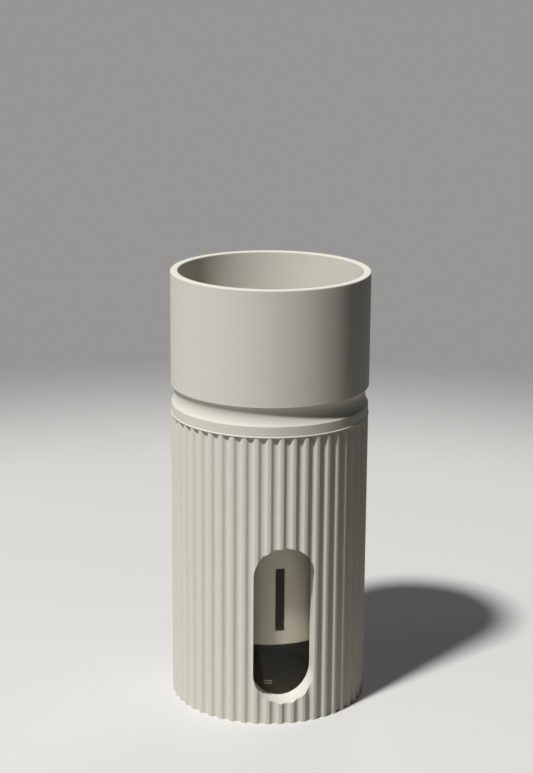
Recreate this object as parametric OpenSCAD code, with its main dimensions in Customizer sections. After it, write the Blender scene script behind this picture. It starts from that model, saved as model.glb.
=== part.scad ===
// Self-watering plant pot. A fluted sleeve with a level window stands on the table.
// A clear tank stands in the sleeve, a smooth cup sits on top, and a slotted basket
// hangs from the cup into the tank. The window faces -Y and the base lies at Z = 0.

/* [Overall] */
// Outside diameter of the smooth cup, the widest part of the pot
pot_d = 80; // [75:0.5:92]
// Height from the table to the rim
pot_h = 178; // [160:1:200]

/* [Fluted sleeve] */
// Height of the sleeve, where the cup parts from it
sleeve_h = 119.7; // [110:0.1:126]
// Number of rounded reeds round the sleeve
reed_count = 50; // [40:1:54]
// Depth of the valleys between the reeds
reed_depth = 1.04; // [0.6:0.02:1.12]
// Steepest slope of a reed's flank, in degrees
reed_slope = 50; // [47:1:60]
// Part of the flattening that is cut off the crests, the rest fills the valleys
crest_share = 0.75; // [0.4:0.05:0.9]
// Turn of the first reed from the middle of the window, in degrees
reed_turn = -2.3; // [-3.6:0.1:3.6]
// How far the reeds' crests stand in front of the cup's band
reed_proud = 0.1; // [0:0.05:0.2]
// Thickness of the floor that the tank stands on
floor_t = 3; // [2:0.5:6]

/* [Level window] */
// Width of the window, which has full round ends
window_w = 24.7; // [16:0.1:28]
// Height of the window from end to end
window_h = 65.8; // [50:0.2:76]
// Height of the window's lower end above the table
window_z = 8.6; // [8:0.2:16]

/* [Water tank] */
// Outside diameter of the tank
tank_d = 59.2; // [56:0.2:60]
// Wall thickness of the tank
tank_wall = 1.2; // [1:0.1:1.6]
// Floor thickness of the tank
tank_floor_t = 1.6; // [1.2:0.1:2.4]
// Outside radius of the rounding at the tank's foot
tank_foot_r = 6; // [3:0.5:8]
// How far the tank's finger lip stands out from its wall
tank_lip_w = 3.8; // [3:0.1:4]
// Thickness of the finger lip
tank_lip_t = 2; // [1.5:0.1:2.5]
// Height of the lower level tick above the top of the foot's rounding
tick_rise = 4.3; // [1:0.1:8]
// Distance between the two level ticks
tick_pitch = 1; // [0.8:0.1:3]
// Height of one level tick
tick_t = 0.4; // [0.3:0.05:0.6]
// How far a tick stands out from the wall
tick_out = 0.15; // [0.1:0.05:0.2]
// Turn of the ticks from the middle of the window, in degrees
tick_turn = -9.5; // [-15:0.5:15]
// Length of each level tick round the wall
tick_l = 3.4; // [2:0.1:5]

/* [Planter cup] */
// Wall thickness at the rim
cup_wall = 3; // [2.4:0.1:3.6]
// Thickness of the cup's floor, which carries the basket
cup_floor_t = 3; // [2:0.2:4]
// Height of the funnel from the basket's flange to the upright wall
funnel_h = 9; // [5:0.5:20]
// Height of the smooth band that sits on the sleeve
band_h = 4.2; // [4:0.1:6]
// Height of the cove groove above the band
cove_h = 8; // [6:0.1:9]
// Depth of the cove groove
cove_depth = 1.5; // [1:0.1:2]
// How far the fine lip at the band's lower edge stands out
lip_out = 0.25; // [0.15:0.05:0.4]
// Height of the fine lip's upright edge
lip_h = 0.4; // [0.3:0.1:0.6]
// Radius of the rounding on the rim's edges
rim_r = 0.5; // [0.3:0.1:0.8]
// Depth of the spigot that locates the cup in the sleeve
spigot_h = 5.6; // [4:0.2:6]

/* [Basket] */
// Height of the basket's underside above the table
basket_z = 29.4; // [24:0.2:34]
// Wall thickness of the basket
basket_wall = 1.6; // [1.2:0.1:2]
// Floor thickness of the basket
basket_floor_t = 2; // [1.6:0.2:3]
// Thickness of the flange that rests in the cup
flange_t = 2.4; // [2:0.1:3]
// How far the flange stands out from the basket's wall
flange_w = 4.2; // [3.6:0.1:4.4]
// Number of upright slots in the basket's wall
slot_count = 8; // [4:1:10]
// Width of a slot
slot_w = 3.8; // [2.5:0.1:5]
// Height of a slot
slot_h = 26.8; // [18:0.2:40]
// Height of the slots' lower ends above the basket's underside
slot_rise = 5.8; // [5:0.2:10]
// Diameter of the hole in the middle of the floor
wick_hole_d = 7; // [5:0.5:9]
// Diameter of each drain hole round it
drain_d = 4; // [3:0.2:5]
// Number of drain holes in each ring
drain_count = 8; // [6:1:9]

/* [Fits] */
// Clearance on radius between pieces that lift out of each other
fit_gap = 0.4; // [0.3:0.05:0.5]
// Height left free between stacked pieces that shouldn't touch
stack_gap = 0.4; // [0.3:0.1:0.6]

/* [Hidden] */
$fn = 96;
// Small overlap that lets a cutter pass cleanly through a face
cut = 1;

// Radii of the nested pieces, from the tank outwards and inwards
cup_r = pot_d / 2;
band_r = cup_r - lip_out;
crest_r = band_r + reed_proud;
valley_r = crest_r - reed_depth;
tank_r = tank_d / 2;
tank_in_r = tank_r - tank_wall;
tank_lip_r = tank_r + tank_lip_w;
bore_r = tank_r + fit_gap;
socket_r = tank_lip_r + fit_gap;
basket_r = tank_in_r - fit_gap;
basket_in_r = basket_r - basket_wall;
hole_r = basket_r + fit_gap;
flange_r = basket_r + flange_w;
bay_r = flange_r + fit_gap;
spigot_r = socket_r - fit_gap;
cup_in_r = cup_r - cup_wall;

// Heights of the seats, from the parting line
spigot_z = sleeve_h - spigot_h;
tank_top = spigot_z - stack_gap;
tank_lip_z = tank_top - tank_lip_t;
ledge_z = tank_lip_z - stack_gap;
seat_z = sleeve_h + cup_floor_t;
flange_top = seat_z + flange_t;
cove_z = sleeve_h + band_h;
funnel_top = flange_top + funnel_h;

// The reeds follow a wave of crest arcs and valley arcs of one radius, which lap by a hair.
// The wave is deeper than the reeds, so crests are cut flat and valleys are filled flat.
reed_half = 180 / reed_count;
reed_mid_r = crest_r - reed_depth / 2;
wave_depth = reed_mid_r * reed_half * PI / 180 * tan(reed_slope / 2);
wave_out = crest_r + (wave_depth - reed_depth) * crest_share;
wave_in = wave_out - wave_depth;
arc_lap = 0.006;

// Arc radius, from the distance between the middles of a crest arc and of a valley arc
arc_a = 2 * (1 - cos(reed_half));
arc_b = 2 * wave_depth * (1 + cos(reed_half)) - 4 * arc_lap;
arc_c = pow(wave_out, 2) + pow(wave_in, 2) - 2 * wave_out * wave_in * cos(reed_half) - pow(arc_lap, 2);
arc_r = (sqrt(pow(arc_b, 2) + 4 * arc_a * arc_c) - arc_b) / (2 * arc_a);
crest_arc_at = wave_out - arc_r;
valley_arc_at = wave_in + arc_r;
flank_sum = pow(crest_arc_at, 2) + pow(valley_arc_at, 2);
flank_r = sqrt(flank_sum + 2 * crest_arc_at * valley_arc_at * cos(reed_half)) / 2;

// The cove is an arc through its two edges at the cup's radius
cove_r = (pow(cove_h / 2, 2) + pow(cove_depth, 2)) / (2 * cove_depth);

// The level ticks start on the tank's upright wall
tick_z = floor_t + tank_foot_r + tick_rise;

// Rings of drain holes, spread evenly between the wick hole and the wall
drain_rings = 2;
wick_hole_r = wick_hole_d / 2;
drain_step = (basket_in_r - wick_hole_r) / (drain_rings + 1);
drain_twist = 180 / drain_count;

// Colours
plastic = [0.82, 0.80, 0.74];
smoke = [0.30, 0.29, 0.26, 0.5];

// Waste outside a rounded corner whose tip lies at [r, r]
module corner_waste(r) {
    difference() {
        square(r + cut);
        circle(r);
    }
}

// One circle of the wave for each reed, with their middles at a given radius
module arc_ring(at, turn) {
    for (i = [0 : reed_count - 1])
        rotate(i * 2 * reed_half + turn - 90)
            translate([at, 0])
                circle(arc_r);
}

// Outline of the sleeve seen from above
module reeded_outline() {
    intersection() {
        circle(crest_r);
        union() {
            circle(valley_r);
            difference() {
                union() {
                    circle(flank_r);
                    arc_ring(crest_arc_at, reed_turn);
                }
                arc_ring(valley_arc_at, reed_turn + reed_half);
            }
        }
    }
}

// Window outline, standing on its lower end
module window_outline() {
    end_r = window_w / 2;
    translate([0, end_r])
        circle(end_r);
    translate([0, window_h - end_r])
        circle(end_r);
    translate([-end_r, end_r])
        square([window_w, window_h - window_w]);
}

module fluted_sleeve() {
    color(plastic)
        difference() {
            linear_extrude(sleeve_h)
                reeded_outline();
            translate([0, 0, floor_t])
                cylinder(h = sleeve_h, r = bore_r);
            translate([0, 0, ledge_z])
                cylinder(h = sleeve_h, r = socket_r);
            translate([0, 0, window_z])
                rotate([90, 0, 0])
                    linear_extrude(cup_r + cut)
                        window_outline();
        }
}

// Half section of the tank, from the axis to its lip
module tank_section() {
    difference() {
        union() {
            translate([0, floor_t])
                square([tank_r, tank_top - floor_t]);
            translate([0, tank_lip_z])
                square([tank_lip_r, tank_lip_t]);
        }
        translate([tank_r - tank_foot_r, floor_t + tank_foot_r])
            mirror([0, 1])
                corner_waste(tank_foot_r);
        tank_cavity_section();
    }
}

// Half section of the water space, with its foot rounded to match the wall
module tank_cavity_section() {
    cavity_r = tank_foot_r - tank_wall;
    cavity_z = floor_t + tank_floor_t;
    difference() {
        translate([-cut, cavity_z])
            square([tank_in_r + cut, tank_top]);
        translate([tank_in_r - cavity_r, cavity_z + cavity_r])
            mirror([0, 1])
                corner_waste(cavity_r);
    }
}

// One raised tick on the front of the tank, made as part of a ring
module level_tick(z) {
    tick_depth = tank_wall / 2;
    intersection() {
        translate([0, 0, z])
            difference() {
                cylinder(h = tick_t, r = tank_r + tick_out);
                translate([0, 0, -cut])
                    cylinder(h = tick_t + 2 * cut, r = tank_r - tick_depth);
            }
        rotate(tick_turn)
            translate([-tick_l / 2, -tank_r - cut, z - cut])
                cube([tick_l, tank_r, tick_t + 2 * cut]);
    }
}

module water_tank() {
    color(smoke)
        union() {
            rotate_extrude()
                tank_section();
            level_tick(tick_z);
            level_tick(tick_z + tick_pitch);
        }
}

// Outer half section of the cup, with its spigot, lip, band, cove and rim
module cup_outer_section() {
    difference() {
        polygon([
            [0, spigot_z],
            [spigot_r, spigot_z],
            [spigot_r, sleeve_h],
            [cup_r, sleeve_h],
            [cup_r, sleeve_h + lip_h],
            [band_r, sleeve_h + lip_h + lip_out],
            [band_r, cove_z + cove_h / 2],
            [cup_r, cove_z + cove_h / 2],
            [cup_r, pot_h],
            [0, pot_h]
        ]);
        translate([cup_r - cove_depth + cove_r, cove_z + cove_h / 2])
            circle(cove_r);
        translate([cup_r - rim_r, pot_h - rim_r])
            corner_waste(rim_r);
    }
}

// Half section of the space inside the cup, down through the basket's seat
module cup_inner_section() {
    polygon([
        [-cut, spigot_z - cut],
        [hole_r, spigot_z - cut],
        [hole_r, seat_z],
        [bay_r, seat_z],
        [bay_r, flange_top],
        [cup_in_r, funnel_top],
        [cup_in_r, pot_h + cut],
        [-cut, pot_h + cut]
    ]);
    translate([cup_in_r + rim_r, pot_h - rim_r])
        mirror([1, 0])
            corner_waste(rim_r);
}

module planter_cup() {
    color(plastic)
        rotate_extrude()
            difference() {
                cup_outer_section();
                cup_inner_section();
            }
}

// Half section of the basket's wall, floor and flange
module basket_section() {
    translate([0, basket_z])
        square([basket_r, basket_floor_t]);
    translate([basket_in_r, basket_z])
        square([basket_wall, flange_top - basket_z]);
    translate([basket_in_r, seat_z])
        square([flange_r - basket_in_r, flange_t]);
}

// Upright slots, the first one facing the window
module basket_slots() {
    for (i = [0 : slot_count - 1])
        rotate(i * 360 / slot_count)
            translate([-slot_w / 2, -basket_r - cut, basket_z + slot_rise])
                cube([slot_w, basket_r - basket_in_r + 2 * cut, slot_h]);
}

// Wick hole and two rings of drain holes through the floor
module basket_holes() {
    hole_l = basket_floor_t + 2 * cut;
    translate([0, 0, basket_z - cut])
        cylinder(h = hole_l, r = wick_hole_r);
    for (ring = [1 : drain_rings])
        for (i = [0 : drain_count - 1])
            rotate(i * 360 / drain_count + ring * drain_twist)
                translate([wick_hole_r + ring * drain_step, 0, basket_z - cut])
                    cylinder(h = hole_l, d = drain_d);
}

module basket() {
    color(plastic)
        difference() {
            rotate_extrude()
                basket_section();
            basket_slots();
            basket_holes();
        }
}

fluted_sleeve();
water_tank();
planter_cup();
basket();
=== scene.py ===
import math

import bmesh
import bpy
from mathutils import Matrix, Vector


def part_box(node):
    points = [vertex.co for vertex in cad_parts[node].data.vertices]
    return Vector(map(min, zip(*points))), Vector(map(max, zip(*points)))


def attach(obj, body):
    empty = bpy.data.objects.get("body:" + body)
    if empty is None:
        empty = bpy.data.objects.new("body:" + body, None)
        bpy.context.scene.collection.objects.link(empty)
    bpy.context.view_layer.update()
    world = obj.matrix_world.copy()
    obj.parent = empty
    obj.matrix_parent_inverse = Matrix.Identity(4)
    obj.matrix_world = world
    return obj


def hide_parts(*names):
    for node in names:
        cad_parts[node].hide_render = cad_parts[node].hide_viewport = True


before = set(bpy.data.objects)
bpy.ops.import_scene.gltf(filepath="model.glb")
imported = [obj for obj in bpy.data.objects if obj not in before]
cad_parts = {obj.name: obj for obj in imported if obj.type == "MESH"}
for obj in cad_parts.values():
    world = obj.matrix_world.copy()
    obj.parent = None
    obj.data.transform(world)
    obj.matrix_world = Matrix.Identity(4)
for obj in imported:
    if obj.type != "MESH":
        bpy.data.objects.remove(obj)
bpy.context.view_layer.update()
mm = 0.001
weldDistance = 0.001 * mm
scene = bpy.context.scene
scene.view_settings.view_transform = "Standard"

# heights and radii that the solids give
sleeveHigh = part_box("fluted_sleeve")[1]
tankLow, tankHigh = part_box("water_tank")
cupLow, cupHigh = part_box("planter_cup")
basketLow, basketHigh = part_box("basket")
partingZ = sleeveHigh.z
rimZ = cupHigh.z
cupRadius = cupHigh.x
print("frame loaded, rim at %.1f mm" % (rimZ / mm))


# Shared mesh helpers

def roundCorner(before, corner, after, radius, steps):
    # points of a fillet of the given radius at one corner of a section
    a = (before - corner).normalized()
    b = (after - corner).normalized()
    half = a.angle(b) / 2
    reach = radius / math.tan(half)
    centre = corner + (a + b).normalized() * (radius / math.sin(half))
    start = corner + a * reach - centre
    sweep = math.pi - 2 * half
    turn = 1 if a.x * b.y - a.y * b.x < 0 else -1
    points = []
    for i in range(steps + 1):
        angle = turn * sweep * i / steps
        points.append(centre + Matrix.Rotation(angle, 2) @ start)
    return points


def roundedSection(corners, steps=5, hold=0.25 * mm):
    # corners are (radius, height, fillet) in order round a closed section
    points = [Vector(c[:2]) for c in corners]
    turns = []
    for i, corner in enumerate(corners):
        here, before, after = points[i], points[i - 1], points[(i + 1) % len(points)]
        turns.append(roundCorner(before, here, after, corner[2], steps) if corner[2] > 0 else [here])
    # a point close to each fillet keeps the long straight runs flat under smooth shading
    loop = []
    for i, turn in enumerate(turns):
        following = turns[(i + 1) % len(turns)]
        run = following[0] - turn[-1]
        loop += turn
        if run.length > 4 * hold and len(turn) > 1:
            loop.append(turn[-1] + run.normalized() * hold)
        if run.length > 4 * hold and len(following) > 1:
            loop.append(following[0] - run.normalized() * hold)
    return loop


def arcPoints(centre, radius, fromDegrees, toDegrees, steps):
    # corners with no fillet along an arc
    corners = []
    for i in range(steps + 1):
        angle = math.radians(fromDegrees + (toDegrees - fromDegrees) * i / steps)
        corners.append((centre[0] + radius * math.cos(angle), centre[1] + radius * math.sin(angle), 0))
    return corners


def finishMesh(obj, sharpDegrees=32):
    # outward faces, smooth shading and sharp edges at real corners
    work = bmesh.new()
    work.from_mesh(obj.data)
    bmesh.ops.remove_doubles(work, verts=work.verts, dist=2 * weldDistance)
    bmesh.ops.recalc_face_normals(work, faces=work.faces)
    limit = math.radians(sharpDegrees)
    for face in work.faces:
        face.smooth = True
    for edge in work.edges:
        edge.smooth = len(edge.link_faces) == 2 and edge.calc_face_angle() < limit
    work.to_mesh(obj.data)
    work.free()
    obj.data.update()
    return obj


def meshObject(name, verts, faces):
    mesh = bpy.data.meshes.new(name)
    mesh.from_pydata(verts, [], faces)
    obj = bpy.data.objects.new(name, mesh)
    scene.collection.objects.link(obj)
    return obj


def turnedObject(name, loop, segments):
    # a closed section turned round the axis; points on the axis become one vertex
    verts = []
    rings = []
    for point in loop:
        if point[0] < weldDistance:
            rings.append([len(verts)] * segments)
            verts.append((0, 0, point[1]))
        else:
            rings.append(list(range(len(verts), len(verts) + segments)))
            for s in range(segments):
                angle = 2 * math.pi * s / segments
                verts.append((point[0] * math.cos(angle), point[0] * math.sin(angle), point[1]))
    faces = []
    for i, ring in enumerate(rings):
        nextRing = rings[(i + 1) % len(rings)]
        for s in range(segments):
            t = (s + 1) % segments
            corners = [ring[s], ring[t], nextRing[t], nextRing[s]]
            corners = list(dict.fromkeys(corners))
            if len(corners) > 2:
                faces.append(corners)
    return meshObject(name, verts, faces)


# Shared Geometry Nodes helpers

def newTree(name, sockets):
    tree = bpy.data.node_groups.new(name, "GeometryNodeTree")
    tree.interface.new_socket("Geometry", in_out="INPUT", socket_type="NodeSocketGeometry")
    for label, kind in sockets:
        tree.interface.new_socket(label, in_out="INPUT", socket_type="NodeSocket" + kind)
    tree.interface.new_socket("Geometry", in_out="OUTPUT", socket_type="NodeSocketGeometry")
    return tree


def addNode(tree, kind, settings=None, **links):
    # links name a socket by its label, or by s and its number
    node = tree.nodes.new(kind)
    for key, value in (settings or {}).items():
        setattr(node, key, value)
    for label, value in links.items():
        numbered = label[0] == "s" and label[1:].isdigit()
        socket = node.inputs[int(label[1:])] if numbered else node.inputs[label.replace("_", " ")]
        if isinstance(value, bpy.types.NodeSocket):
            tree.links.new(value, socket)
        else:
            socket.default_value = value
    return node


def sums(tree, operation, a, b=0.0):
    return addNode(tree, "ShaderNodeMath", {"operation": operation}, s0=a, s1=b).outputs[0]


def runTree(obj, tree, values):
    # sets the named inputs, bakes the modifier into a plain mesh and drops it
    modifier = obj.modifiers.new(tree.name, "NODES")
    modifier.node_group = tree
    for item in tree.interface.items_tree:
        if item.in_out == "INPUT" and item.name in values:
            modifier[item.identifier] = values[item.name]
    scene.view_layers[0].update()
    graph = bpy.context.evaluated_depsgraph_get()
    mesh = bpy.data.meshes.new_from_object(obj.evaluated_get(graph))
    obj.modifiers.remove(modifier)
    obj.data = mesh
    return obj


# Materials

def newMaterial(name):
    material = bpy.data.materials.new(name)
    material.use_nodes = True
    tree = material.node_tree
    tree.nodes.clear()
    output = tree.nodes.new("ShaderNodeOutputMaterial")
    shader = tree.nodes.new("ShaderNodeBsdfPrincipled")
    tree.links.new(shader.outputs[0], output.inputs[0])
    return material, tree, shader, output


def objectNoise(tree, scale, detail, roughness=0.5):
    # noise on Object coordinates, stretched by a scale for each axis
    coord = addNode(tree, "ShaderNodeTexCoord")
    mapping = addNode(tree, "ShaderNodeMapping", Vector=coord.outputs["Object"], Scale=scale)
    noise = addNode(tree, "ShaderNodeTexNoise", Vector=mapping.outputs[0],
                    Scale=1.0, Detail=detail, Roughness=roughness)
    return noise.outputs[0]


def levelNoise(tree, along, height, detail, roughness=0.5):
    # noise that runs level round the pot in streaks of the given height
    return objectNoise(tree, (along, along, 1 / height), detail, roughness)


def spread(tree, value, low, high, fromLow=0.25, fromHigh=0.75):
    node = addNode(tree, "ShaderNodeMapRange", Value=value, From_Min=fromLow, From_Max=fromHigh,
                   To_Min=low, To_Max=high)
    return node.outputs[0]


plastic = {
    "colour": (0.655, 0.635, 0.565),
    "layerPitch": 0.3 * mm,
    "layerDepth": 0.035 * mm,
    "unevenness": 45,  # noise scale along a layer
    "streakHeight": 0.65 * mm,
    "streakRuns": 9,  # noise scale along a streak
    "streakDepth": 2.7,  # in layer depths, as the grain's
    "grain": 2600,  # noise scale
    "grainDepth": 0.25,
    "bumpStrength": 0.55,
    "tint": 0.005,
    "roughness": (0.62, 0.76),
    "specular": 0.3,
    "diffuseRoughness": 0.15,
}


# painted shade and soil stain for the inside of the basket's tube
shadeAndSoil = {
    "colour": (0.19, 0.135, 0.06),
    "radius": 26.6 * mm,
    "fade": 0.7 * mm,
    "patch": (0.86, 1.0),
    "patchScale": (160, 160, 110),
}


def paintShadeAndSoilInside(tree, colour):
    # the inside of the basket's tube is painted dark brown, as painted shade and soil stain, and the paint
    # ends in its wall
    coord = addNode(tree, "ShaderNodeTexCoord")
    flat = addNode(tree, "ShaderNodeVectorMath", {"operation": "MULTIPLY"},
                   s0=coord.outputs["Object"], s1=(1, 1, 0))
    radius = addNode(tree, "ShaderNodeVectorMath", {"operation": "LENGTH"}, s0=flat.outputs[0])
    inside = spread(tree, radius.outputs["Value"], 1.0, 0.0,
                    shadeAndSoil["radius"], shadeAndSoil["radius"] + shadeAndSoil["fade"])
    patches = spread(tree, objectNoise(tree, shadeAndSoil["patchScale"], 4.0, 0.6), *shadeAndSoil["patch"])
    amount = sums(tree, "MULTIPLY", inside, patches)
    shadedAndSoiled = addNode(tree, "ShaderNodeMix", {"data_type": "RGBA"}, s0=amount, s6=colour,
                      s7=(*shadeAndSoil["colour"], 1))
    return shadedAndSoiled.outputs[2]


def printedPlastic(name, shade=1.0, shadedAndSoiled=False):
    material, tree, shader = newMaterial(name)[:3]
    coord = addNode(tree, "ShaderNodeTexCoord")
    layerScale = math.pi / (10 * plastic["layerPitch"])
    layers = addNode(tree, "ShaderNodeTexWave", {"wave_type": "BANDS", "bands_direction": "Z"},
                     Vector=coord.outputs["Object"], Scale=layerScale, Distortion=0.0)
    uneven = levelNoise(tree, plastic["unevenness"], plastic["layerPitch"], 1.0)
    streaks = levelNoise(tree, plastic["streakRuns"], plastic["streakHeight"], 3.0, 0.6)
    grain = objectNoise(tree, [plastic["grain"]] * 3, 1.0)
    ridge = sums(tree, "MULTIPLY", layers.outputs[1], spread(tree, uneven, 0.5, 1.0))
    height = sums(tree, "ADD", ridge, sums(tree, "MULTIPLY", streaks, plastic["streakDepth"]))
    height = sums(tree, "ADD", height, sums(tree, "MULTIPLY", grain, plastic["grainDepth"]))
    bump = addNode(tree, "ShaderNodeBump", Height=height, Strength=plastic["bumpStrength"],
                   Distance=plastic["layerDepth"])
    base = [c * shade for c in plastic["colour"]]
    pale = [min(1, c * (1 + plastic["tint"])) for c in base] + [1]
    deep = [c * (1 - plastic["tint"]) for c in base] + [1]
    colour = addNode(tree, "ShaderNodeMix", {"data_type": "RGBA"}, s0=spread(tree, streaks, 0.0, 1.0),
                     s6=deep, s7=pale)
    finish = paintShadeAndSoilInside(tree, colour.outputs[2]) if shadedAndSoiled else colour.outputs[2]
    tree.links.new(finish, shader.inputs["Base Color"])
    tree.links.new(spread(tree, uneven, *plastic["roughness"]), shader.inputs["Roughness"])
    tree.links.new(bump.outputs[0], shader.inputs["Normal"])
    shader.inputs["Specular IOR Level"].default_value = plastic["specular"]
    shader.inputs["Diffuse Roughness"].default_value = plastic["diffuseRoughness"]
    return material


smoke = {
    "tint": (0.955, 0.935, 0.885),
    "lampTint": (0.25, 0.245, 0.235, 1),
    "ior": 1.23,
    "specular": 0.18,
    "roughness": (0.015, 0.05),
    "wipeScale": (60, 60, 240),
}


def smokedClear(name):
    material, tree, shader, output = newMaterial(name)
    shader.inputs["Base Color"].default_value = (*smoke["tint"], 1)
    shader.inputs["Transmission Weight"].default_value = 1
    shader.inputs["IOR"].default_value = smoke["ior"]
    shader.inputs["Specular IOR Level"].default_value = smoke["specular"]
    wipe = objectNoise(tree, smoke["wipeScale"], 4.0)
    tree.links.new(spread(tree, wipe, *smoke["roughness"]), shader.inputs["Roughness"])
    path = addNode(tree, "ShaderNodeLightPath")
    clear = addNode(tree, "ShaderNodeBsdfTransparent", Color=smoke["lampTint"])
    mix = addNode(tree, "ShaderNodeMixShader", s0=path.outputs["Is Shadow Ray"],
                  s1=shader.outputs[0], s2=clear.outputs[0])
    tree.links.new(mix.outputs[0], output.inputs[0])
    return material


# pale speckled colour of the level ticks: frosted plastic, lightened as a painted glint of the lamp on the
# tank's bottom
frostAndGlint = {
    "deep": (0.62, 0.61, 0.56, 1),
    "pale": (0.8, 0.79, 0.73, 1),
    "grain": 3000,
    "roughness": 0.45,
}


# a pale frosted finish for the ticks, partly a painted glint
def frostAndGlintTick(name):
    material, tree, shader = newMaterial(name)[:3]
    speckle = objectNoise(tree, [frostAndGlint["grain"]] * 3, 2.0)
    colour = addNode(tree, "ShaderNodeMix", {"data_type": "RGBA"}, s0=spread(tree, speckle, 0.0, 1.0),
                     s6=frostAndGlint["deep"], s7=frostAndGlint["pale"])
    tree.links.new(colour.outputs[2], shader.inputs["Base Color"])
    shader.inputs["Roughness"].default_value = frostAndGlint["roughness"]
    return material


sleevePlastic = printedPlastic("sleevePlastic")
cupPlastic = printedPlastic("cupPlastic")
# the basket's plastic carries the painted shade and soil stain inside its tube
basketPlastic = printedPlastic("basketPlastic", 0.96, shadedAndSoiled=True)
tankSmoke = smokedClear("tankSmoke")
tickFrostAndGlint = frostAndGlintTick("tickFrostAndGlint")
print("materials ready")


# Fluted sleeve: reeds from one formula, then the bore, socket and window are cut

reeds = {
    "count": 50,
    "crest": 39.85 * mm,
    "depth": 1.04 * mm,
    "slope": 50,
    "crestShare": 0.75,
    "turn": -2.3,
    "points": 28,
}


def reedWave():
    # arcs of one radius that meet on the flank, for a wave a little deeper than the reeds
    half = math.pi / reeds["count"]
    wave = (reeds["crest"] - reeds["depth"] / 2) * half * math.tan(math.radians(reeds["slope"]) / 2)
    out = reeds["crest"] + (wave - reeds["depth"]) * reeds["crestShare"]
    into = out - wave
    a = 2 * (1 - math.cos(half))
    b = 2 * wave * (1 + math.cos(half))
    c = out ** 2 + into ** 2 - 2 * out * into * math.cos(half)
    radius = (math.sqrt(b * b + 4 * a * c) - b) / (2 * a)
    return radius, out - radius, into + radius


arcRadius, crestCentre, valleyCentre = reedWave()
sleeve = {
    "Reed count": reeds["count"],
    "Points per reed": reeds["points"],
    "Turn": math.radians(reeds["turn"]),
    "Crest radius": reeds["crest"],
    "Valley radius": reeds["crest"] - reeds["depth"],
    "Arc radius": arcRadius,
    "Crest centre": crestCentre,
    "Valley centre": valleyCentre,
    "Height": partingZ,
    "Floor": 3 * mm,
    "Bore radius": 30 * mm,
    "Socket radius": 33.8 * mm,
    "Ledge height": partingZ - 8.4 * mm,
    "Window width": 24.7 * mm,
    "Window height": 65.8 * mm,
    "Window bottom": 8.6 * mm,
    "Finish": sleevePlastic,
}
sleeveCuts = {
    "drumSides": 256,
    "endSteps": 28,
    "endShare": 0.4999,  # a little under half, so that the fillets of one end don't meet in a point
    "reachShare": 1.2,
}


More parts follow.
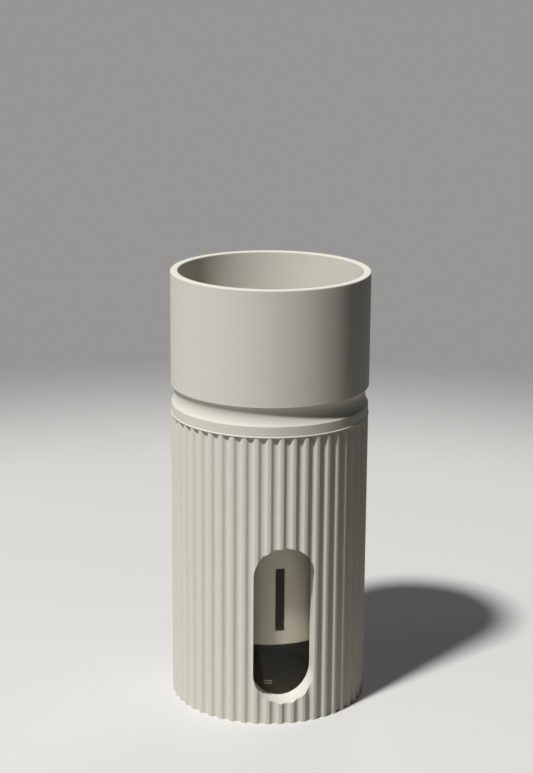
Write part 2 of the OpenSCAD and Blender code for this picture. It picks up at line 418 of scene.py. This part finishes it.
def sleeveTree():
    tree = newTree("reededSleeve", [
        ("Reed count", "Int"), ("Points per reed", "Int"), ("Turn", "Float"), ("Crest radius", "Float"),
        ("Valley radius", "Float"), ("Arc radius", "Float"), ("Crest centre", "Float"),
        ("Valley centre", "Float"), ("Height", "Float"), ("Floor", "Float"), ("Bore radius", "Float"),
        ("Socket radius", "Float"), ("Ledge height", "Float"), ("Window width", "Float"),
        ("Window height", "Float"), ("Window bottom", "Float"), ("Finish", "Material")])
    given = tree.nodes.new("NodeGroupInput").outputs
    points = sums(tree, "MULTIPLY", given["Reed count"], given["Points per reed"])
    index = tree.nodes.new("GeometryNodeInputIndex").outputs[0]
    # angle of each point from its own crest and from the next valley
    halfReed = sums(tree, "DIVIDE", math.pi, given["Reed count"])
    inReed = sums(tree, "FRACT", sums(tree, "DIVIDE", index, given["Points per reed"]))
    aside = sums(tree, "MULTIPLY", sums(tree, "ABSOLUTE", sums(tree, "SUBTRACT", inReed, 0.5)), 2.0)
    fromCrest = sums(tree, "MULTIPLY", aside, halfReed)
    fromValley = sums(tree, "SUBTRACT", halfReed, fromCrest)

    def onArc(centre, angle, side):
        # radius at which a ray from the axis meets an arc's outer or inner side
        across = sums(tree, "POWER", sums(tree, "MULTIPLY", centre, sums(tree, "SINE", angle)), 2.0)
        left = sums(tree, "SUBTRACT", sums(tree, "POWER", given["Arc radius"], 2.0), across)
        reach = sums(tree, "SQRT", sums(tree, "MAXIMUM", left, 0.0))
        return sums(tree, side, sums(tree, "MULTIPLY", centre, sums(tree, "COSINE", angle)), reach)

    crest = onArc(given["Crest centre"], fromCrest, "ADD")
    valley = onArc(given["Valley centre"], fromValley, "SUBTRACT")
    onCrest = sums(tree, "LESS_THAN", aside, 0.5)
    radius = sums(tree, "ADD", valley, sums(tree, "MULTIPLY", onCrest, sums(tree, "SUBTRACT", crest, valley)))
    radius = sums(tree, "MAXIMUM", radius, given["Valley radius"])
    radius = sums(tree, "MINIMUM", radius, given["Crest radius"])
    # the first crest lies at the turn, measured from the window's middle
    start = sums(tree, "SUBTRACT", sums(tree, "SUBTRACT", given["Turn"], halfReed), math.pi / 2)
    angle = sums(tree, "ADD", sums(tree, "MULTIPLY", index, sums(tree, "DIVIDE", 2 * math.pi, points)), start)
    alongX = sums(tree, "MULTIPLY", radius, sums(tree, "COSINE", angle))
    alongY = sums(tree, "MULTIPLY", radius, sums(tree, "SINE", angle))
    place = addNode(tree, "ShaderNodeCombineXYZ", X=alongX, Y=alongY)
    ring = addNode(tree, "GeometryNodeCurvePrimitiveCircle", Resolution=points)
    outline = addNode(tree, "GeometryNodeSetPosition", Geometry=ring.outputs[0], Position=place.outputs[0])
    foot = addNode(tree, "GeometryNodeFillCurve", {"mode": "NGONS"}, Curve=outline.outputs[0])
    up = addNode(tree, "ShaderNodeCombineXYZ", Z=1.0)
    raised = addNode(tree, "GeometryNodeExtrudeMesh", Mesh=foot.outputs[0], Offset=up.outputs[0],
                     Offset_Scale=given["Height"])
    base = addNode(tree, "GeometryNodeFlipFaces", Mesh=foot.outputs[0])
    body = tree.nodes.new("GeometryNodeJoinGeometry")
    tree.links.new(raised.outputs[0], body.inputs[0])
    tree.links.new(base.outputs[0], body.inputs[0])
    solid = addNode(tree, "GeometryNodeMergeByDistance", Geometry=body.outputs[0], Distance=weldDistance)
    cutters = []
    for size, bottom in (("Bore radius", "Floor"), ("Socket radius", "Ledge height")):
        drum = addNode(tree, "GeometryNodeMeshCylinder", Vertices=sleeveCuts["drumSides"],
                       Radius=given[size], Depth=given["Height"])
        lift = sums(tree, "ADD", given[bottom], sums(tree, "MULTIPLY", given["Height"], 0.5))
        move = addNode(tree, "ShaderNodeCombineXYZ", Z=lift)
        cutters.append(addNode(tree, "GeometryNodeTransform", Geometry=drum.outputs[0],
                               Translation=move.outputs[0]))
    pane = addNode(tree, "GeometryNodeCurvePrimitiveQuadrilateral", Width=given["Window width"],
                   Height=given["Window height"])
    endRadius = sums(tree, "MULTIPLY", given["Window width"], sleeveCuts["endShare"])
    rounded = addNode(tree, "GeometryNodeFilletCurve", {"mode": "POLY"}, Curve=pane.outputs[0],
                      Count=sleeveCuts["endSteps"], Radius=endRadius)
    sheet = addNode(tree, "GeometryNodeFillCurve", {"mode": "NGONS"}, Curve=rounded.outputs[0])
    reach = sums(tree, "MULTIPLY", given["Crest radius"], sleeveCuts["reachShare"])
    plug = addNode(tree, "GeometryNodeExtrudeMesh", Mesh=sheet.outputs[0], Offset=up.outputs[0],
                   Offset_Scale=reach)
    back = addNode(tree, "GeometryNodeFlipFaces", Mesh=sheet.outputs[0])
    block = tree.nodes.new("GeometryNodeJoinGeometry")
    tree.links.new(plug.outputs[0], block.inputs[0])
    tree.links.new(back.outputs[0], block.inputs[0])
    whole = addNode(tree, "GeometryNodeMergeByDistance", Geometry=block.outputs[0], Distance=weldDistance)
    middle = sums(tree, "ADD", given["Window bottom"], sums(tree, "MULTIPLY", given["Window height"], 0.5))
    stand = addNode(tree, "ShaderNodeCombineXYZ", Z=middle)
    cutters.append(addNode(tree, "GeometryNodeTransform", Geometry=whole.outputs[0],
                           Translation=stand.outputs[0], Rotation=(math.pi / 2, 0, 0)))
    cut = addNode(tree, "GeometryNodeMeshBoolean", {"operation": "DIFFERENCE", "solver": "EXACT"},
                  s0=solid.outputs[0])
    for cutter in cutters:
        tree.links.new(cutter.outputs[0], cut.inputs[1])
    real = addNode(tree, "GeometryNodeRealizeInstances", Geometry=cut.outputs[0])
    dressed = addNode(tree, "GeometryNodeSetMaterial", Geometry=real.outputs[0], Material=given["Finish"])
    addNode(tree, "NodeGroupOutput", s0=dressed.outputs[0])
    return tree


flutedSleeve = runTree(meshObject("flutedSleeve", [], []), sleeveTree(), sleeve)
finishMesh(flutedSleeve)
print("sleeve: %d faces" % len(flutedSleeve.data.polygons))


# Planter cup: one turned section with rim, cove, band, fine lip, spigot, basket seat and funnel

cup = {
    "wall": 3 * mm,
    "bandHeight": 4.2 * mm,
    "coveHeight": 8 * mm,
    "coveDepth": 1.5 * mm,
    "lipOut": 0.25 * mm,
    "lipHeight": 0.4 * mm,
    "lipRound": 0.1 * mm,
    "lipTopRound": 0.05 * mm,
    "rimRound": 0.5 * mm,
    "edgeRound": 0.25 * mm,
    "coveFootRound": 0.15 * mm,
    "coveSteps": 22,
    "spigotRadius": 33.4 * mm,
    "holeRadius": 28.4 * mm,
    "bayRadius": 32.6 * mm,
    "seatZ": partingZ + 3 * mm,
    "bayTop": partingZ + 5.4 * mm,
    "funnelTop": partingZ + 14.4 * mm,
    "funnelRound": 2 * mm,
    "segments": 224,
}


def cupSection():
    bandRadius = cupRadius - cup["lipOut"]
    half = cup["coveHeight"] / 2
    coveRadius = (half ** 2 + cup["coveDepth"] ** 2) / (2 * cup["coveDepth"])
    coveZ = partingZ + cup["bandHeight"] + half
    coveX = cupRadius - cup["coveDepth"] + coveRadius
    lowAngle = 180 + math.degrees(math.acos((coveX - bandRadius) / coveRadius))
    highAngle = 180 - math.degrees(math.acos((coveX - cupRadius) / coveRadius))
    cove = arcPoints((coveX, coveZ), coveRadius, lowAngle, highAngle, cup["coveSteps"])
    edge = cup["edgeRound"]
    cove[0] = (*cove[0][:2], cup["coveFootRound"])
    cove[-1] = (*cove[-1][:2], edge)
    corners = [
        (cup["holeRadius"], cupLow.z, edge),
        (cup["spigotRadius"], cupLow.z, edge),
        (cup["spigotRadius"], partingZ, 0),
        (cupRadius, partingZ, cup["lipRound"]),
        (cupRadius, partingZ + cup["lipHeight"], cup["lipTopRound"]),
        (bandRadius, partingZ + cup["lipHeight"] + cup["lipOut"], cup["lipRound"]),
    ]
    corners += cove
    inner = cupRadius - cup["wall"]
    corners += [
        (cupRadius, rimZ, cup["rimRound"]),
        (inner, rimZ, cup["rimRound"]),
        (inner, cup["funnelTop"], cup["funnelRound"]),
        (cup["bayRadius"], cup["bayTop"], edge),
        (cup["bayRadius"], cup["seatZ"], 0),
        (cup["holeRadius"], cup["seatZ"], edge),
    ]
    return roundedSection(corners)


planterCup = turnedObject("planterCup", cupSection(), cup["segments"])
planterCup.data.materials.append(cupPlastic)
finishMesh(planterCup)
print("cup: %d faces" % len(planterCup.data.polygons))


# Basket: a turned tube with a flange, then slots and drain holes are cut by nodes

basket = {
    "radius": 28 * mm,
    "wall": 1.6 * mm,
    "floor": 2 * mm,
    "flangeHeight": 2.4 * mm,
    "wickRadius": 3.5 * mm,
    "edgeRound": 0.25 * mm,
    "footRound": 0.4 * mm,
    "flangeRound": 0.5 * mm,
    "mouthRound": 0.75 * mm,
    "drainSides": 32,
    "segments": 192,
}
basketCuts = {
    "Slot count": 8,
    "Slot width": 3.8 * mm,
    "Slot height": 26.8 * mm,
    "Slot middle": basketLow.z + 19.2 * mm,
    "Wall radius": basket["radius"] - basket["wall"] / 2,
    "Wall cut": basket["wall"] * 3,
    "Drain count": 8,
    "Drain radius": 2 * mm,
    "First ring": 11.13 * mm,
    "Second ring": 18.77 * mm,
    "Floor middle": basketLow.z + basket["floor"] / 2,
    "Floor cut": basket["floor"] * 3,
    "Finish": basketPlastic,
}


def basketSection():
    edge = basket["edgeRound"]
    inner = basket["radius"] - basket["wall"]
    flangeLow = basketHigh.z - basket["flangeHeight"]
    return roundedSection([
        (basket["wickRadius"], basketLow.z, edge),
        (basket["radius"], basketLow.z, basket["footRound"]),
        (basket["radius"], flangeLow, 0),
        (basketHigh.x, flangeLow, edge),
        (basketHigh.x, basketHigh.z, basket["flangeRound"]),
        (inner, basketHigh.z, basket["mouthRound"]),
        (inner, basketLow.z + basket["floor"], edge),
        (basket["wickRadius"], basketLow.z + basket["floor"], edge),
    ])


def basketTree():
    tree = newTree("slottedBasket", [
        ("Slot count", "Int"), ("Slot width", "Float"), ("Slot height", "Float"), ("Slot middle", "Float"),
        ("Wall radius", "Float"), ("Wall cut", "Float"), ("Drain count", "Int"), ("Drain radius", "Float"),
        ("First ring", "Float"), ("Second ring", "Float"), ("Floor middle", "Float"), ("Floor cut", "Float"),
        ("Finish", "Material")])
    given = tree.nodes.new("NodeGroupInput").outputs
    # slots stand on a ring of points that starts in front, at the window
    slotSize = addNode(tree, "ShaderNodeCombineXYZ", X=given["Wall cut"], Y=given["Slot width"],
                       Z=given["Slot height"])
    slot = addNode(tree, "GeometryNodeMeshCube", Size=slotSize.outputs[0])

    def ringOf(shape, count, radius, height, startTurn):
        ring = addNode(tree, "GeometryNodeMeshCircle", Vertices=count, Radius=radius)
        spot = tree.nodes.new("GeometryNodeInputPosition").outputs[0]
        facing = addNode(tree, "FunctionNodeAlignRotationToVector", {"axis": "X"}, Vector=spot)
        copies = addNode(tree, "GeometryNodeInstanceOnPoints", Points=ring.outputs[0],
                         Instance=shape.outputs[0], Rotation=facing.outputs[0])
        move = addNode(tree, "ShaderNodeCombineXYZ", Z=height)
        turn = addNode(tree, "ShaderNodeCombineXYZ", Z=startTurn)
        placed = addNode(tree, "GeometryNodeTransform", Geometry=copies.outputs[0],
                         Translation=move.outputs[0], Rotation=turn.outputs[0])
        return addNode(tree, "GeometryNodeRealizeInstances", Geometry=placed.outputs[0])

    drain = addNode(tree, "GeometryNodeMeshCylinder", Vertices=basket["drainSides"],
                    Radius=given["Drain radius"], Depth=given["Floor cut"])
    halfStep = sums(tree, "DIVIDE", math.pi, given["Drain count"])
    cutters = [
        ringOf(slot, given["Slot count"], given["Wall radius"], given["Slot middle"], -math.pi / 2),
        ringOf(drain, given["Drain count"], given["First ring"], given["Floor middle"], halfStep),
        ringOf(drain, given["Drain count"], given["Second ring"], given["Floor middle"], 0.0),
    ]
    cut = addNode(tree, "GeometryNodeMeshBoolean", {"operation": "DIFFERENCE", "solver": "EXACT"},
                  s0=given["Geometry"])
    for cutter in cutters:
        tree.links.new(cutter.outputs[0], cut.inputs[1])
    real = addNode(tree, "GeometryNodeRealizeInstances", Geometry=cut.outputs[0])
    dressed = addNode(tree, "GeometryNodeSetMaterial", Geometry=real.outputs[0], Material=given["Finish"])
    addNode(tree, "NodeGroupOutput", s0=dressed.outputs[0])
    return tree


slottedBasket = finishMesh(turnedObject("slottedBasket", basketSection(), basket["segments"]))
runTree(slottedBasket, basketTree(), basketCuts)
finishMesh(slottedBasket)
print("basket: %d faces" % len(slottedBasket.data.polygons))


# Water tank: a thin turned cup with a finger lip and two level ticks

tank = {
    "radius": 29.6 * mm,
    "wall": 1.2 * mm,
    "floor": 1.6 * mm,
    "footRound": 6 * mm,
    "lipHeight": 2 * mm,
    "lipRound": 0.6 * mm,
    "innerRound": 0.4 * mm,
    "roundSteps": 10,
    "segments": 224,
}
ticks = {
    "lowZ": 13.3 * mm,
    "pitch": 1 * mm,
    "count": 2,
    "height": 0.4 * mm,
    "foot": 0.02 * mm,
    "proud": 0.15 * mm,
    "bevelShare": 0.2,
    "length": 3.4 * mm,
    "turn": -9.5,
    "steps": 12,
}


def tankSection():
    inner = tank["radius"] - tank["wall"]
    lipLow = tankHigh.z - tank["lipHeight"]
    corners = [
        (0, tankLow.z, 0),
        (tank["radius"], tankLow.z, tank["footRound"]),
        (tank["radius"], lipLow, tank["innerRound"]),
        (tankHigh.x, lipLow, tank["lipRound"]),
        (tankHigh.x, tankHigh.z, tank["lipRound"]),
        (inner, tankHigh.z, tank["innerRound"]),
        (inner, tankLow.z + tank["floor"], tank["footRound"] - tank["wall"]),
        (0, tankLow.z + tank["floor"], 0),
    ]
    return roundedSection(corners, tank["roundSteps"])


def tickBars():
    # short raised bars round the front of the tank
    verts = []
    faces = []
    halfAngle = ticks["length"] / tank["radius"] / 2
    # how far out and how high each corner of a bar's section lies
    section = ((ticks["foot"], 0), (ticks["proud"], ticks["bevelShare"]),
               (ticks["proud"], 1 - ticks["bevelShare"]), (ticks["foot"], 1))
    sides = len(section)
    for n in range(ticks["count"]):
        low = ticks["lowZ"] + n * ticks["pitch"]
        first = len(verts)
        for s in range(ticks["steps"] + 1):
            angle = math.radians(ticks["turn"] - 90) + halfAngle * (2 * s / ticks["steps"] - 1)
            for out, up in section:
                reach = tank["radius"] + out
                verts.append((reach * math.cos(angle), reach * math.sin(angle), low + up * ticks["height"]))
        for s in range(ticks["steps"]):
            a = first + sides * s
            for k in range(sides):
                m = (k + 1) % sides
                faces.append((a + k, a + m, a + sides + m, a + sides + k))
        faces.append(tuple(first + k for k in range(sides)))
        last = first + sides * ticks["steps"]
        faces.append(tuple(last + k for k in reversed(range(sides))))
    return meshObject("levelTicks", verts, faces)


waterTank = turnedObject("waterTank", tankSection(), tank["segments"])
waterTank.data.materials.append(tankSmoke)
finishMesh(waterTank)
levelTicks = finishMesh(tickBars())
levelTicks.data.materials.append(tickFrostAndGlint)
print("tank: %d faces" % len(waterTank.data.polygons))


# Each piece rides on its body; the tank and its ticks together stand for the tank's solid

for piece, body, node, slot in (
        (flutedSleeve, "sleeve", "fluted_sleeve", "sleeve_plastic"),
        (waterTank, "tank", "water_tank", "tank_smoke"),
        (planterCup, "cup", "planter_cup", "cup_plastic"),
        (slottedBasket, "basket", "basket", "basket_plastic")):
    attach(piece, body)
    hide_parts(node)
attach(levelTicks, "tank")


# Floor, lights and camera

# the bounce colours are painted shade on the floor: darker far away and towards the pot's shaded side
stage = {
    "size": 12,
    "pale": (0.636, 0.63, 0.611, 1),
    "bounce": (0.477, 0.465, 0.436, 1),
    "shadedSide": 0.48,
    "farBounce": 0.2,
    "far": (0.31, 0.305, 0.295, 1),
    "paleReach": 0.3,
    "fade": 0.28,
    "sideSpan": (-0.06, 0.12),
    "bounceSpan": (0.1, 0.6),
    "roughness": 0.6,
    "specular": 0.2,
}


def seenRays(tree):
    # rays by which a background is seen, as against those that only light the pot
    path = addNode(tree, "ShaderNodeLightPath")
    seen = sums(tree, "MAXIMUM", path.outputs["Is Camera Ray"], path.outputs["Is Glossy Ray"])
    return sums(tree, "MAXIMUM", seen, path.outputs["Is Transmission Ray"])


def stageFloor():
    half = stage["size"] / 2
    corners = [(-half, -half, 0), (half, -half, 0), (half, half, 0), (-half, half, 0)]
    floor = meshObject("stageFloor", corners, [(0, 1, 2, 3)])
    material, tree, shader, output = newMaterial("paleFloor")
    shader.inputs["Roughness"].default_value = stage["roughness"]
    shader.inputs["Specular IOR Level"].default_value = stage["specular"]
    # away from the pot the floor shows one even backdrop grey
    coord = addNode(tree, "ShaderNodeTexCoord")
    distance = addNode(tree, "ShaderNodeVectorMath", {"operation": "LENGTH"}, s0=coord.outputs["Object"])
    away = addNode(tree, "ShaderNodeMapRange", {"interpolation_type": "SMOOTHSTEP"},
                   Value=distance.outputs["Value"], From_Min=stage["paleReach"],
                   From_Max=stage["paleReach"] + stage["fade"])
    seen = seenRays(tree)
    # light thrown back on the pot fades with distance and towards its shaded side, by painted shade in the
    # floor colour that only the pot's light sees
    sides = addNode(tree, "ShaderNodeSeparateXYZ", Vector=coord.outputs["Object"])
    sideShare = spread(tree, sides.outputs["X"], 1.0, stage["shadedSide"], *stage["sideSpan"])
    farShare = spread(tree, distance.outputs["Value"], 1.0, stage["farBounce"], *stage["bounceSpan"])
    share = sums(tree, "MULTIPLY", sideShare, farShare)
    thrown = addNode(tree, "ShaderNodeMix", {"data_type": "RGBA"}, s0=share, s6=(0, 0, 0, 1),
                     s7=stage["bounce"])
    colour = addNode(tree, "ShaderNodeMix", {"data_type": "RGBA"}, s0=seen, s6=thrown.outputs[2],
                     s7=stage["pale"])
    tree.links.new(colour.outputs[2], shader.inputs["Base Color"])
    backdrop = addNode(tree, "ShaderNodeEmission", Color=stage["far"], Strength=1.0)
    mix = addNode(tree, "ShaderNodeMixShader", s0=sums(tree, "MULTIPLY", away.outputs[0], seen),
                  s1=shader.outputs[0], s2=backdrop.outputs[0])
    tree.links.new(mix.outputs[0], output.inputs[0])
    floor.data.materials.append(material)


lamps = [
    {"name": "keySoftbox", "azimuth": -50, "elevation": 60, "distance": 3.2, "size": 0.32, "power": 131},
    {"name": "leftSoftbox", "azimuth": -78, "elevation": 14, "distance": 1.6, "size": 1.0, "power": 1.5},
    {"name": "backSoftbox", "azimuth": 152, "elevation": 30, "distance": 1.6, "size": 0.9, "power": 3},
]
ambient = {"colour": (1.0, 0.98, 0.93, 1), "strength": 0.006}


def aimAt(place, target):
    return (target - place).to_track_quat("-Z", "Y").to_euler()


def addLamps():
    target = Vector((0, 0, rimZ / 2))
    for spec in lamps:
        azimuth = math.radians(spec["azimuth"])
        elevation = math.radians(spec["elevation"])
        aim = Vector((math.sin(azimuth) * math.cos(elevation), -math.cos(azimuth) * math.cos(elevation),
                      math.sin(elevation)))
        light = bpy.data.lights.new(spec["name"], "AREA")
        light.shape = "DISK"
        light.size = spec["size"]
        light.energy = spec["power"]
        lamp = bpy.data.objects.new(spec["name"], light)
        lamp.location = target + aim * spec["distance"]
        lamp.rotation_euler = aimAt(lamp.location, target)
        scene.collection.objects.link(lamp)


def addRoom():
    # the room shows the backdrop grey wherever it is seen, also in and through the tank
    world = bpy.data.worlds.new("studio")
    world.use_nodes = True
    tree = world.node_tree
    background = tree.nodes["Background"]
    seen = seenRays(tree)
    colour = addNode(tree, "ShaderNodeMix", {"data_type": "RGBA"}, s0=seen, s6=ambient["colour"],
                     s7=stage["far"])
    tree.links.new(colour.outputs[2], background.inputs[0])
    tree.links.new(spread(tree, seen, ambient["strength"], 1.0, 0.0, 1.0), background.inputs[1])
    scene.world = world


view = {
    "azimuth": -9.6,
    "distance": 0.75026,
    "height": 0.33206,
    "pitch": -15.089,
    "yaw": -0.105,
    "roll": 0.394,
    "lens": 89.59,
    "sensor": 36,
    "near": 0.01,
}


def addCamera():
    camera = bpy.data.objects.new("photoView", bpy.data.cameras.new("photoView"))
    camera.data.sensor_fit = "AUTO"
    camera.data.sensor_width = view["sensor"]
    camera.data.lens = view["lens"]
    camera.data.clip_start = view["near"]
    azimuth = math.radians(view["azimuth"])
    place = Vector((math.sin(azimuth), -math.cos(azimuth), 0)) * view["distance"]
    place.z = view["height"]
    facing = Matrix.Rotation(azimuth - math.radians(view["yaw"]), 4, "Z")
    tilt = Matrix.Rotation(math.radians(90 + view["pitch"]), 4, "X")
    roll = Matrix.Rotation(math.radians(view["roll"]), 4, "Z")
    camera.matrix_world = Matrix.Translation(place) @ facing @ tilt @ roll
    scene.collection.objects.link(camera)
    scene.camera = camera


stageFloor()
addLamps()
addRoom()
addCamera()
print("stage, lamps and camera ready")
